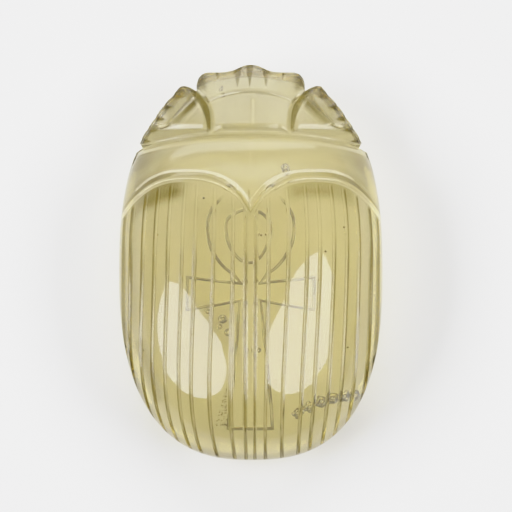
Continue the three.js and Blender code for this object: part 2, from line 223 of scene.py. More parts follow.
# Patches where the engraved lines are darker and lighter: rate and phase along x and along y.
ENGRAVING_PATCHES = ((1.7, 0.6), (1.1, 1.3))
LOOP = Values(x=-0.1, y=3.9, half_width=4.45, top=4.2, bottom=5.9, neck_x=1.9)
EYE = Values(x=-0.25, y=4.0, half_width=2.3, top=1.7, bottom=4.2)
ARM = Values(x=6.25, top_y=-1.88, bottom_y=-5.56, inner_x=1.05, inner_top_y=-2.53, inner_bottom_y=-4.55)
STEM = Values(waist_x=1.4, waist_y=-9.0, foot_x=2.35, foot_y=-18.5)

# Gas bubbles in the glass: centre and radius. A loose string of them runs in from the right of the tail.
BUBBLES = (
    (4.05, 11.05, 9.0, 0.42), (-3.6, 21.0, 4.6, 0.2), (-3.5, 21.35, 4.3, 0.17), (1.3, 20.8, 4.8, 0.13),
    (-4.4, -5.8, 1.2, 0.28), (-2.9, -6.7, 1.3, 0.44), (-3.2, -7.55, 1.2, 0.25), (-2.3, -8.2, 1.4, 0.37),
    (0.3, -10.2, 1.5, 0.24), (0.8, -10.2, 1.5, 0.26), (-5.1, 7.3, 5.5, 0.14), (-10.1, 3.2, 5.5, 0.13),
    (10.0, 4.1, 5.0, 0.12), (7.4, -12.5, 4.0, 0.13), (10.4, -10.2, 4.5, 0.13), (-11.6, -10.6, 4.5, 0.12),
    (-14.3, -5.4, 4.8, 0.13), (-8.9, 13.7, 6.0, 0.16), (8.0, 1.2, 5.0, 0.14),
)
BUBBLE_STRING = Values(
    start=(5.2, -17.7, 4.2), end=(11.4, -16.0, 3.8), bow=0.6, clusters=6, radii=(0.46, 0.6),
    small_turns=(0.3, 1.7, 3.3, 4.6), small_radii=(0.14, 0.3),
    spread=0.5, spread_shares=(0.7, 1.2), lift=0.3, seed=3,
)
# A bubble smaller than this is a plain dark dot, painted shade in place of the bubble.
SMALLEST_BUBBLE = 0.18
# Painted shade: a dark ring round each larger bubble stands for the dark rim it shows in the glass.
RING = Values(radius=0.88, thickness=0.3, section=6, segments=20)
# Dark inclusions: flakes beside the eye of the ankh, and a smudge along the foot of its stem.
FLAKES = ((0.85, 3.2, 0.4, 0.13), (1.1, 3.05, 0.4, 0.16), (1.65, 3.15, 0.4, 0.17), (1.9, 3.0, 0.4, 0.14))
SMUDGE = Values(
    corner=(-2.5, -18.3, 0.4), across=1.1, along=4.2, deep=0.5, foot_power=1.4, stem_power=1.5,
    count=110, radii=(0.03, 0.065), seed=5,
)

# Mesh density. Ends of the grid that are less than EDGE_BAND above the widest level are put on it.
COARSE = 0.4
SEAM_STEP = 0.075
SIDE_COLUMNS = 12
SIDE_CROWDING = 2.5
ROWS = Values(
    field=92, rim=14, front_groove=20, pronotum=22, pronotum_edge=8, ledge=8, head=78, edge=9, wall=5
)
FIELD_SPACING = 1.5
EDGE_BAND = 0.3
LOOP_POINTS = 40
EYE_POINTS = 60
LINE_STEP = 0.4
LINE_SECTION = 7
BALL_SEGMENTS = Values(speck=8, bubble=16)
SHARP_DEGREES = 40
WELD = 1e-5

# Unevenness of a hand-polished surface.
WAVE = Values(height=0.035, count=14, shortest=2.5, longest=9.0, typical=6, above_edge=2, seed=7)

# Glass. It absorbs by the metre.
GLASS_IOR = 1.47
GLASS_CLEARNESS = 0.92
CLEAR_COLOR = (0.98, 0.953, 0.83, 1)
# Colour of stains and of painted shade.
STAIN_AND_SHADE_COLOR = (0.16, 0.13, 0.035, 1)
POLISHED, GROUND = 0.02, 0.4
# Colour of the dark inclusions, and of the dark dots and rings that are painted shade for bubbles.
SPECK_COLOR = (0.1, 0.08, 0.05, 1)
SPECK_ROUGHNESS = 0.6
ABSORPTION = Values(density=42.0, color=(0.825, 0.728, 0.02, 1))

# Studio. A light's roll turns it about the line to the object, and its size is for one unit of distance.
LIGHT_DISTANCE = 2.0
SOFTBOXES = dict(
    left=dict(azimuth=-147.5, elevation=38, roll=42, width=1.07, height=0.72, radiance=8.4, lighting=False),
    right=dict(azimuth=-32, elevation=49.6, roll=-18, width=1.08, height=0.74, radiance=7.8, lighting=False),
    edge=dict(azimuth=98, elevation=10, roll=0, width=1.5, height=0.24, radiance=4.0),
    right_fill=dict(azimuth=5, elevation=40, roll=0, width=1.0, height=0.3, radiance=13.0, shining=False),
    left_fill=dict(azimuth=178, elevation=38, roll=0, width=1.0, height=0.3, radiance=18.5, shining=False),
    back_fill=dict(azimuth=85, elevation=40, roll=0, width=1.0, height=0.3, radiance=9.5, shining=False),
)
FILL = 0.05
FLOOR = Values(half_size=1500, z=-0.03, color=(0.78, 0.78, 0.785, 1), roughness=0.9)
TONE_WHITE = 2.0
TONE_CURVE = ((0, 0), (0.3, 0.59), (0.385, 0.7), (0.45, 0.77), (0.7, 0.865), (1.0, 0.92))
CAMERA = Values(x=0.67, y=0.76, height=600.0, view=65.0)
SENSOR_WIDTH = 36.0


def mix(a, b, share):
    return a + (b - a) * share


def smooth(edge0, edge1, value):
    t = np.clip((value - edge0) / (edge1 - edge0), 0, 1)
    return t * t * (3 - 2 * t)


def hump(distance, half_width):
    """1 in the middle, falling to 0 at half_width."""
    return 0.5 + 0.5 * np.cos(np.pi * np.clip(np.abs(distance) / half_width, 0, 1))


def band(span, value):
    """1 between the two inner places of a span, falling to 0 at its ends."""
    start, full, fading, end = span
    return smooth(start, full, value) * smooth(end, fading, value)


def body_x(y):
    """Half width of the body's oval at y."""
    share = 1 - np.abs((y - MIDDLE_Y) / HALF_LENGTH) ** POWER
    return HALF_WIDTH * share ** (1 / POWER)


def tail_y(x):
    """The oval's tail edge at x."""
    share = np.clip(1 - np.abs(x / HALF_WIDTH) ** POWER, 0, 1)
    return MIDDLE_Y - HALF_LENGTH * share ** (1 / POWER)


def arch_y(x, arch):
    out = np.abs(x) - arch.crest_x
    inner = arch.inner_drop * np.clip(-out / arch.crest_x, 0, None) ** arch.inner_power
    run = ARCH_END_X - arch.crest_x
    outer = arch.outer_drop * np.clip(out / run, 0, None) ** arch.outer_power
    notch_depth = arch.notch * np.clip(1 - np.abs(x) / ARCH_NOTCH_REACH, 0, 1) ** 2
    return arch.crest_y - inner - outer - notch_depth


def rim_y(x):
    return arch_y(x, ELYTRA_RIM)


def pronotum_back_y(x):
    return arch_y(x, PRONOTUM_BACK)


def pronotum_front_y(x):
    share = np.abs(x) / PRONOTUM_FRONT.half_width
    return PRONOTUM_FRONT.y - PRONOTUM_FRONT.drop * share ** PRONOTUM_FRONT.power


def dome_z(x, y):
    """Height of the plain dome, which droops towards the head."""
    droop = DROOP.rate * np.clip(y - DROOP.from_y, 0, None) ** DROOP.power
    across = np.abs(x) / HALF_WIDTH
    along = np.abs(y + droop * (1 - across**2) - MIDDLE_Y) / HALF_LENGTH
    ellipse = across**2 + along**2
    square = (across**POWER + along**POWER) ** (2 / POWER)
    out = np.clip(mix(ellipse, square, square), 0, 1)
    return WIDEST_Z + DOME_HEIGHT * np.sqrt(1 - out**DOME_ROUNDNESS)


def stretch(start, end, step):
    """Evenly spaced stops after start, up to and with end."""
    count = max(1, math.ceil(abs(end - start) / step))
    return list(np.linspace(start, end, count + 1)[1:])


def column_stops():
    """Distances of the columns from the axis, close together across each groove and at the side edge."""
    stops = [0.0] + stretch(0, SEAM.edge, SEAM_STEP)
    for x in STRIAE:
        across = [x + offset * STRIA.half_width for offset in STRIA_OFFSETS]
        stops += stretch(stops[-1], across[0], COARSE) + across[1:]
    gap = HALF_WIDTH - stops[-1]
    side = np.arange(1, SIDE_COLUMNS + 1) / SIDE_COLUMNS
    return np.concatenate([stops, HALF_WIDTH - gap * (1 - side) ** SIDE_CROWDING])


HALF_STOPS = column_stops()
STOPS = np.concatenate([-HALF_STOPS[:0:-1], HALF_STOPS])
SHARE = STOPS / HALF_WIDTH
MIDDLE = len(HALF_STOPS) - 1
EVEN = np.linspace(-1, 1, len(STOPS))
RIGHTNESS = smooth(-SQUARENESS.blend, SQUARENESS.blend, STOPS)
POWER = mix(SQUARENESS.left, SQUARENESS.right, RIGHTNESS)


def row(x, y, z, frost=0.0, stain=0.0, shade_gain=1.0):
    """One row of the grid: its points, how matt they are, how much stain and painted shade they carry, and
    how strongly hollows get painted shade.
    """
    return [np.broadcast_to(value, np.shape(x)) for value in (x, y, z, frost, stain, shade_gain)]


def stria_shading(across, outward, faint, tail):
    """Painted shade across one groove: on its walls, most on the outer one, with a painted highlight along
    its floor, and darkening all of it at the tail edge.
    """
    dirt = STRIA_SHADING
    walls = hump(across - dirt.wall_at, dirt.wall_reach)
    walls = walls + dirt.inner_wall * hump(across + dirt.wall_at, dirt.wall_reach)
    walls = walls * mix(mix(*dirt.walls, faint), dirt.side_walls, smooth(*dirt.side, outward))
    inside = mix(*dirt.inside, faint) * (np.abs(across) < dirt.inside_reach)
    floor = mix(*dirt.floor, faint) * hump(across, dirt.floor_reach)
    filled = dirt.tail * hump(across, mix(*dirt.tail_reach, tail))
    return mix(walls + inside - floor, filled, tail)


def wing_grooves(y, tail):
    """Depth, painted shade and frost of the seam and the grooves at each column. Tail is 1 at the tail edge.
    """
    side = np.abs(STOPS)
    faint = smooth(*FAINT_SHADE_FRONT, y)
    seam = np.clip(1 - ((side - SEAM.groove_x) / SEAM.half_width) ** 2, 0, 1)
    depth = seam * mix(SEAM.depth, SEAM.tail_depth, tail)
    frost = SEAM_SHADE.frost * (seam > 0)
    stain = seam * mix(mix(*SEAM_SHADE.amount, faint), SEAM_SHADE.tail, tail)
    for x in STRIAE:
        across = (side - x) / STRIA.half_width
        cut = np.clip(1 - across**2, 0, 1)
        outward = (x / HALF_WIDTH) ** 2
        middle = mix(STRIA.middle_depth, STRIA.side_depth, outward)
        depth = depth + cut * mix(middle, STRIA.tail_depth, tail)
        stain = stain + stria_shading(across, outward, faint, tail)
        ground = mix(STRIA_SHADING.frost, STRIA_SHADING.tail_frost, tail)
        frost = np.maximum(frost, (np.abs(across) < GROOVE_EDGE) * ground)
    return depth, stain, frost


def sunk(x, y, depth):
    """Points of the dome moved in, square to its surface."""
    step = SLOPE_STEP
    z = dome_z(x, y)
    slope_x = np.clip((dome_z(x + step, y) - dome_z(x - step, y)) / (2 * step), -STEEPEST, STEEPEST)
    slope_y = np.clip((dome_z(x, y + step) - dome_z(x, y - step)) / (2 * step), -STEEPEST, STEEPEST)
    scale = depth / np.sqrt(1 + slope_x**2 + slope_y**2)
    return x + slope_x * scale, y + slope_y * scale, z - scale


def field_rows():
    """The grooved wing cases, from the tail edge to the foot of their front rim."""
    s = np.abs(SHARE)
    pinch = TAIL_PINCH.share * (1 - s ** TAIL_PINCH.side_power)
    end_x = STOPS * (1 - pinch)
    foot_y = guide_points(lambda x: rim_y(x) - RIM.foot)[1]
    rows = []
    for along in np.linspace(0, 1, ROWS.field) ** FIELD_SPACING:
        y = mix(tail_y(end_x), foot_y, along)
        reach = np.where(y > MIDDLE_Y, body_x(np.maximum(y, MIDDLE_Y)), HALF_WIDTH)
        onset = np.minimum(1, STRIA_LEAN.onset * s) * (1 - s ** STRIA_LEAN.side_power)
        bow = math.sin(math.pi * along ** STRIA_LEAN.power)
        lean = STRIA_LEAN.slope * (y - MIDDLE_Y) * onset * bow
        x = SHARE * reach * (1 - pinch * (1 - along) ** TAIL_PINCH.power) + lean
        tail = smooth(TAIL_CUT.fade_end, TAIL_CUT.fade_start, y - tail_y(x))
        depth, stain, frost = wing_grooves(y, tail)
        fade = smooth(*GROOVE_ENDS.front, along) * smooth(*GROOVE_ENDS.tail, y - tail_y(x))
        # Painted shade behind the rims and towards the sides.
        shade = behind_rim_shading(x, y) + SIDE_SHADE.amount * smooth(*SIDE_SHADE.side, s)
        shade_gain = SHADE_GAIN.field * (1 + tail)
        rows.append(row(*sunk(x, y, depth * fade), frost * (fade > 0.5), stain * fade + shade, shade_gain))
    return rows


def behind_rim_shading(x, y):
    """Painted shade: the darker patch behind the rim of each wing case."""
    left = BEHIND_RIM_SHADE.left * band(BEHIND_RIM_SHADE.left_span, x)
    right = BEHIND_RIM_SHADE.right * band(BEHIND_RIM_SHADE.right_span, x)
    return smooth(*BEHIND_RIM_SHADE.reach, rim_y(x) - y) * (left + right)


def guide_points(line_y):
    """Where the columns meet a line that crosses the body."""
    y = line_y(SHARE * body_x(line_y(SHARE * ARCH_END_X)))
    return SHARE * body_x(y), y


def rim_height(back):
    """The bead's height at a distance behind the front edge of the wing cases."""
    if back < RIM.crest:
        return RIM.rise
    hollow = RIM.hollow * hump(back - RIM.fall, RIM.hollow_reach)
    return RIM.rise * (1 - smooth(RIM.crest, RIM.fall, back)) - hollow


def rim_rows():
    """The beaded rim of the wing cases, and the groove between it and the pronotum."""
    rows = []
    for back in np.linspace(RIM.foot, 0, ROWS.rim)[1:]:
        x, y = guide_points(lambda x: rim_y(x) - back)
        rows.append(row(x, y, dome_z(x, y) + rim_height(back), FROST.rim))
    side = np.abs(SHARE)
    out = smooth(0, FRONT_GROOVE.spread, side)
    bottom = mix(FRONT_GROOVE.axis_share, FRONT_GROOVE.share, out)
    depth = mix(FRONT_GROOVE.axis_depth, FRONT_GROOVE.depth, out)
    groove_shading = mix(*FRONT_GROOVE_SHADE.amount, smooth(*FRONT_GROOVE_SHADE.side, side))
    roll_shading = mix(*ROLL_LIGHT_AND_SHADE.amount, smooth(*ROLL_LIGHT_AND_SHADE.side, side))
    for t in np.linspace(0, 1, ROWS.front_groove)[1:]:
        x, y = guide_points(lambda x: mix(rim_y(x), pronotum_back_y(x), t))
        wall = mix(RIM.rise, -depth, np.clip(t / bottom, 0, 1) ** FRONT_GROOVE.wall_power)
        roll = mix(-depth, PRONOTUM.rise, np.interp((t - bottom) / (1 - bottom), *ROLL))
        relief = np.where(t < bottom, wall, roll)
        on_wall = smooth(*FRONT_GROOVE_SHADE.end, t - bottom) * smooth(*FRONT_GROOVE_SHADE.start, t)
        # Painted shade on the groove's wall; on the roll, painted highlight near the axis and painted shade
        # at the sides.
        stain = on_wall * groove_shading + notch(x, y) + roll_shading * (t > bottom)
        rows.append(row(x, y, dome_z(x, y) + relief, FROST.front_groove, stain, SHADE_GAIN.front_groove))
    return rows


def notch(x, y):
    """Painted shade: the fine dark line where the two arches meet on the axis."""
    axis = NOTCH.x
    return NOTCH.stain * stroke(x, y, axis, NOTCH.front_y, axis, NOTCH.back_y, NOTCH.half_width)


def pronotum_rows():
    """The smooth pronotum, whose columns even out towards the head, and its rounded front edge."""
    radius, rise = PRONOTUM.front_radius, PRONOTUM.rise
    dirt = PRONOTUM_SHADING
    rows = []
    for t in np.linspace(0, 1, ROWS.pronotum)[1:]:
        y = guide_points(lambda x: mix(pronotum_back_y(x), pronotum_front_y(x) - radius, t))[1]
        x = mix(SHARE, EVEN, smooth(0, 1, t)) * body_x(y)
        y = mix(pronotum_back_y(x), pronotum_front_y(x) - radius, t)
        # Painted shade towards the sides and the front, and painted highlight near the back.
        stain = dirt.sides * smooth(*dirt.side, np.abs(x) / HALF_WIDTH) + notch(x, y)
        stain = stain + dirt.front * hump(t - dirt.front_at, dirt.front_reach)
        stain = stain + dirt.back * hump(t - dirt.back_at, dirt.back_reach)
        rows.append(row(x, y, dome_z(x, y) + rise, FROST.pronotum, stain))
    for t in np.linspace(0, 1, ROWS.pronotum_edge)[1:]:
        drop = PRONOTUM.front_drop * (1 - math.sqrt(1 - t**2))
        y = pronotum_front_y(EVEN * HEAD.half_width) - radius * (1 - t)
        x = EVEN * body_x(y)
        z = dome_z(x, y) + rise - drop
        # A painted highlight along the rounded front edge.
        rows.append(row(x, y, z, FROST.pronotum_edge, dirt.edge, SHADE_GAIN.pronotum_edge))
    return rows


def stroke(x, y, x0, y0, x1, y1, half_width):
    """1 on the line between two points, falling to 0 at half_width from it."""
    length = math.hypot(x1 - x0, y1 - y0)
    along = np.clip(((x - x0) * (x1 - x0) + (y - y0) * (y1 - y0)) / length**2, 0, 1)
    return hump(np.hypot(x - mix(x0, x1, along), y - mix(y0, y1, along)), half_width)


def head_z(x, y):
    ridge = HEAD.back_z - HEAD.slope * (y - PRONOTUM_FRONT.y)
    return mix(ridge, HEAD.side_z, np.clip(np.abs(x) / HEAD.half_width, 0, 1) ** HEAD.power)


def beside_valley(side, y):
    """Distance outward from the valley between the centre plate and a side plate."""
    back_x, back_y = VALLEY.back
    t = np.clip((y - back_y) / (VALLEY.front_y - back_y), 0, VALLEY.past)
    return side - back_x - VALLEY.spread * t ** VALLEY.power


def plate_start(side, y):
    """0 on the ledge behind the head's plates, 1 on the plates, whose back edges curl in to the valley."""
    near = np.clip(1 - np.abs(beside_valley(side, y)) / PLATE_BACK.curl_reach, 0, 1)
    curl = PLATE_BACK.curl * near**2
    return np.clip(0.5 + 0.5 * (y - PLATE_BACK.y + curl) / PLATE_BACK.edge, 0, 1)


def rim_cuts(x, y):
    """Tapering cuts in the centre plate's front rim."""
    total = np.zeros_like(x)
    for cut_x, back_y, front_y, half_width in RIM_CUTS:
        along = np.clip((y - back_y) / (front_y - back_y), 0, 1)
        width = half_width * np.maximum(along, RIM_CUT.least) ** RIM_CUT.taper
        across = np.clip(1 - np.abs(x - cut_x) / width, 0, 1)
        total = np.maximum(total, across * (y > back_y) * along ** RIM_CUT.run_in)
    return total


def ahead_of_crease(x, y):
    """Distance forward from the crease behind the centre plate's front rim."""
    return y - FRONT_RIM.y + FRONT_RIM.bend * x**2


def centre_plate(x, y):
    """A plate that tilts up to its front rim, with a low ridge along its middle."""
    crease = ahead_of_crease(x, y)
    rim = FRONT_RIM.rise * smooth(0, FRONT_RIM.width, crease)
    rim = rim - FRONT_RIM.fall * np.maximum(crease, 0)
    middle = smooth(PLATE_RIDGE.half_width, PLATE_RIDGE.crest, np.abs(x - PLATE_RIDGE.x))
    start, end, run = PLATE_RIDGE.start, PLATE_RIDGE.end, PLATE_RIDGE.ends
    ridge = PLATE_RIDGE.rise * middle * band((start, start + run, end - run, end), y)
    tilt = PLATE_BACK.tilt * np.maximum(y - PLATE_BACK.y, 0)
    return PLATE_BACK.centre_rise + tilt + rim + ridge


def beyond_facet(side, y):
    """Distance outward from the outer side of the side plate's facet."""
    (ax, ay), (cx, cy) = FACET.apex, FACET.corner
    return ((side - ax) * (ay - cy) + (y - ay) * (cx - ax)) / math.hypot(cx - ax, cy - ay)


def side_plate(side, y):
    """A flat three-cornered facet, a hollow along its outer side, and a broad raised border."""
    beyond = beyond_facet(side, y)
    lip = FACET.lip * hump(beyond, FACET.lip_reach)
    border = FACET.crest * smooth(*FACET.crest_rise, beyond)
    hollow = FACET.hollow * hump(beyond - FACET.reach, FACET.reach)
    return PLATE_BACK.side_rise + lip - hollow + border


def head_relief(x, y):
    """Height of the plates over the head's plain slope, less the valleys and cuts."""
    side = np.abs(x)
    beside = beside_valley(side, y)
    start = plate_start(side, y)
    reach = np.where(beside < 0, -beside / VALLEY.inner, beside / VALLEY.outer)
    wall = np.where(beside < 0, smooth(0, 1, reach), np.clip(reach, 0, 1))
    valley = VALLEY.depth * (1 - wall) * smooth(*VALLEY.start, y)
    height = np.where(beside < 0, centre_plate(x, y), side_plate(side, y)) * start
    return height * mix(wall, 1, 1 - start) - valley - RIM_CUT.depth * rim_cuts(x, y)


def edge_highlights(x, y, beside, narrow):
    """How strongly painted highlights lie along the edges beside the valleys, the front rim and the ridge."""
    inner = hump(beside - EDGE_HIGHLIGHT.inner_at, EDGE_HIGHLIGHT.inner_reach)
    outer = hump(beside / narrow - EDGE_HIGHLIGHT.outer_at, EDGE_HIGHLIGHT.outer_reach) * smooth(*EDGE_HIGHLIGHT.outer_front, y)
    crease = ahead_of_crease(x, y)
    rim = EDGE_HIGHLIGHT.rim * smooth(*EDGE_HIGHLIGHT.rim_rise, crease) + hump(crease, EDGE_HIGHLIGHT.crease_reach)
    ridge = EDGE_HIGHLIGHT.ridge * hump(x - PLATE_RIDGE.x, EDGE_HIGHLIGHT.ridge_reach)
    on_ridge = (y > PLATE_RIDGE.start) * (y < PLATE_RIDGE.end)
    return inner + outer + (beside < EDGE_HIGHLIGHT.plate_beside) * rim + ridge * on_ridge


def head_shading(x, y):
    """Painted shade over the head's relief, with painted highlights along its proud edges."""
    side = np.abs(x)
    beside = beside_valley(side, y)
    start = plate_start(side, y)
    narrow = mix(*VALLEY_SHADE.width, smooth(*VALLEY_SHADE.widening, y))
    valley = smooth(*VALLEY_SHADE.inner, beside) * smooth(*VALLEY_SHADE.outer, beside / narrow)
    valley = VALLEY_SHADE.amount * valley * smooth(*VALLEY_SHADE.front, y)
    facet = hump(beyond_facet(side, y) - FACET.reach, FACET.reach)
    facet = FACET_SHADE.amount * facet * smooth(*FACET_SHADE.beside, beside)
    facet = facet * mix(FACET_SHADE.back_share, 1.0, smooth(*FACET_SHADE.front, y))
    front = FRONT_SHADE.amount * smooth(*FRONT_SHADE.front, y)
    corner = smooth(*CORNER_SHADE.side, side) * smooth(*CORNER_SHADE.front, y) * (beside < 0)
    front = front + CORNER_SHADE.amount * corner
    tip = TIP_SHADE.amount * smooth(*TIP_SHADE.front, y) * (beside > TIP_SHADE.beside)
    dirt = np.maximum(np.maximum(facet * start, front), tip)
    dirt = np.where(beside > VALLEY_SHADE.within, np.maximum(valley, dirt), dirt)
    dirt = dirt + HEAD_SHADE.all_over + HEAD_SHADE.plate_foot * (1 - start)
    dirt = dirt - EDGE_HIGHLIGHT.amount * edge_highlights(x, y, beside, narrow) * start
    return dirt + RIGHT_SHADE.amount * smooth(*RIGHT_SHADE.side, x) * smooth(*RIGHT_SHADE.front, y)


def outline_along(count):
    """Points of half the head's outline, evenly spaced along it."""
    corners = np.array(HEAD_OUTLINE, float)
    lengths = np.concatenate([[0], np.cumsum(np.hypot(*np.diff(corners, axis=0).T))])
    at = np.linspace(0, lengths[-1], count)
    return np.array([np.interp(at, lengths, corners[:, 0]), np.interp(at, lengths, corners[:, 1])])


def serration(side, y):
    """1 at the deepest of the saw-tooth cuts across the side plates' outer edge."""
    corners = np.array(HEAD_OUTLINE[HEAD_OUTLINE.index(NOTCH_POINT) + 1 :], float)
    norm = math.hypot(1, SERRATIONS.slant)
    total = np.zeros_like(side)
    for site in SERRATIONS.sites:
        edge_x = np.interp(-site, -corners[1:, 1], corners[1:, 0])
        along = ((edge_x - side) + (site - y) * SERRATIONS.slant) / norm
        below = ((site - y) - (edge_x - side) * SERRATIONS.slant) / norm
        width = np.where(below > 0, SERRATIONS.gentle, SERRATIONS.steep)
        across = np.clip(1 - np.abs(below) / width, 0, 1)
        fade = np.clip(1 - along / SERRATIONS.length, 0, 1) * (along > -1)
        total = np.maximum(total, across * np.minimum(fade, 1))
    return total


def head_borders():
    """The head's front outline, and the line where the head begins behind it."""
    half = outline_along(MIDDLE + 1)
    front_x = np.concatenate([-half[0, :0:-1], half[0]])
    front_y = np.concatenate([half[1, :0:-1], half[1]])
    back_x = EVEN * (HEAD.half_width - JUNCTION.side_inset)
    back_y = pronotum_front_y(back_x) + JUNCTION.beyond
    cut = SERRATIONS.depth * serration(np.abs(front_x), front_y)
    cut = cut / np.hypot(front_x - back_x, front_y - back_y)
    return mix(front_x, back_x, cut), mix(front_y, back_y, cut), back_x, back_y


def junction_relief(x, y):
    """The fine groove and lip where the head meets the pronotum."""
    ahead = y - pronotum_front_y(x) - JUNCTION.beyond
    lip = JUNCTION.lip * hump(ahead - JUNCTION.lip_at, JUNCTION.lip_reach)
    return lip - JUNCTION.depth * smooth(JUNCTION.groove, 0, ahead)


def ledge_rows(back_x, back_y):
    """The narrow ledge from the foot of the pronotum's edge to the back of the head."""
    shelf_y = pronotum_front_y(EVEN * HEAD.half_width)
    shelf_x = EVEN * body_x(shelf_y)
    shelf_z = dome_z(shelf_x, shelf_y) + PRONOTUM.rise - PRONOTUM.front_drop
    rows = []
    for t in np.linspace(0, 1, ROWS.ledge)[1:]:
        x, y = mix(shelf_x, back_x, t), mix(shelf_y, back_y, t)
        z = mix(shelf_z, head_z(x, y) - JUNCTION.depth, smooth(0, JUNCTION.foot, t))
        rows.append(row(x, y, z, FROST.ledge, HEAD_SHADE.ledge * t, SHADE_GAIN.ledge))
    return rows


def head_rows():
    """The head with its plates, its rounded edge, and the wall below it down to the widest level."""
    front_x, front_y, back_x, back_y = head_borders()
    rows = ledge_rows(back_x, back_y)
    inset = HEAD.edge_radius / np.hypot(front_x - back_x, front_y - back_y)
    edge_x, edge_y = mix(front_x, back_x, inset), mix(front_y, back_y, inset)
    for t in np.linspace(0, 1, ROWS.head)[1:]:
        x, y = mix(back_x, edge_x, t), mix(back_y, edge_y, t)
        teeth = serration(np.abs(x), y)
        z = head_z(x, y) + head_relief(x, y) + junction_relief(x, y) - SERRATIONS.depth * teeth
        # Painted shade in the saw-tooth cuts and the cuts in the front rim, and over the head's relief.
        cuts = smooth(*HEAD_SHADE.tooth, teeth) + RIM_CUT.dirt * np.sqrt(rim_cuts(x, y))
        rows.append(row(x, y, z, FROST.head, np.clip(cuts + head_shading(x, y), 0, 1), SHADE_GAIN.head))
    # Painted shade along the head's rounded edge.
    edge_z, edge_stain = rows[-1][2], rows[-1][4] + HEAD_SHADE.edge
    for turn in np.linspace(0, math.pi / 2, ROWS.edge)[1:]:
        x, y = mix(edge_x, front_x, math.sin(turn)), mix(edge_y, front_y, math.sin(turn))
        z = np.maximum(edge_z - HEAD.edge_radius * (1 - math.cos(turn)), WIDEST_Z + HEAD.least_wall)
        rows.append(row(x, y, z, FROST.head_edge, edge_stain, SHADE_GAIN.head))
    wall_z = rows[-1][2]
    for t in np.linspace(0, 1, ROWS.wall)[1:]:
        z = mix(wall_z, WIDEST_Z, t)
        rows.append(row(front_x, front_y, z, FROST.head_edge, edge_stain, SHADE_GAIN.head))
    return rows


def wave(x, y):
    """Slight unevenness of a hand-polished surface, at most about 1 high. Longer waves are higher."""
    rng = np.random.default_rng(WAVE.seed)
    total = np.zeros_like(x)
    for _ in range(WAVE.count):
        direction, phase = rng.uniform(0, 2 * np.pi, 2)
        length = rng.uniform(WAVE.shortest, WAVE.longest)
        along = x * math.cos(direction) + y * math.sin(direction)
        total += np.sin(along * 2 * np.pi / length + phase) * length / WAVE.typical
    return total / WAVE.count


def hollowness(x, y, z):
    """How far each point of the grid lies below its surroundings, and negative where it stands proud."""
    total = np.zeros_like(z)
    for step in (-HOLLOW.reach, HOLLOW.reach):
        for xs, zs, out in zip(x, z, total):
            out += np.interp(xs + step, xs, zs) - zs
        for ys, zs, out in zip(y.T, z.T, total.T):
            out += np.interp(ys + step, ys, zs) - zs
    return total / 4


def shade_and_streaks(x, y):
    """A slight darkening with random streaks and the darker strokes, and painted shade that is darker on the
    left, along the middle and towards the tail edge.
    """
    rough = np.random.default_rng(SHADE_AND_STREAKS.seed).normal(size=x.shape)
    shifts = range(-SHADE_AND_STREAKS.streak_reach, SHADE_AND_STREAKS.streak_reach + 1)
    streaks = sum(np.roll(rough, shift, axis=1) for shift in shifts) / math.sqrt(len(shifts))
    side = np.abs(x)
    wings = SHADE_AND_STREAKS.wings * smooth(*SHADE_AND_STREAKS.wings_side, side) * smooth(*SHADE_AND_STREAKS.wings_front, y)
    out = (side / HALF_WIDTH) ** POWER + (np.abs(y - MIDDLE_Y) / HALF_LENGTH) ** POWER
    edge = SHADE_AND_STREAKS.edge * smooth(*SHADE_AND_STREAKS.edge_out, out) * smooth(*SHADE_AND_STREAKS.edge_back, y)
    dark_strokes = sum(amount * stroke(x, y, *start, *end, width) for start, end, width, amount in DARK_STROKES)
    total = np.clip(SHADE_AND_STREAKS.middle + SHADE_AND_STREAKS.tilt * x, 0, 1) + wings + edge + dark_strokes
    return total + SHADE_AND_STREAKS.streaks * streaks


def carved_top():
    """Points, frost, and stain and painted shade of the top, as arrays with one row of the grid after the
    other.
    """
    rows = field_rows() + rim_rows() + pronotum_rows() + head_rows()
    x, y, z, frost, stain, shade_gain = (np.array([values[i] for values in rows]) for i in range(6))
    above = z - WIDEST_Z
    # Painted shade in hollows, and painted highlight on what stands proud.
    cavity_shade = np.clip(HOLLOW.gain * hollowness(x, y, z), -HOLLOW.polish, HOLLOW.most)
    cavity_shade = cavity_shade * shade_gain * smooth(*HOLLOW.above_edge, above)
    stain = np.clip(shade_and_streaks(x, y) + stain + cavity_shade, 0, 1)
    z = z + WAVE.height * wave(x, y) * smooth(0, WAVE.above_edge, above)
    z[:, [0, -1]] = np.where(z[:, [0, -1]] < WIDEST_Z + EDGE_BAND, WIDEST_Z, z[:, [0, -1]])
    z[0] = WIDEST_Z
    return np.stack([x, y, z], axis=-1), frost, stain


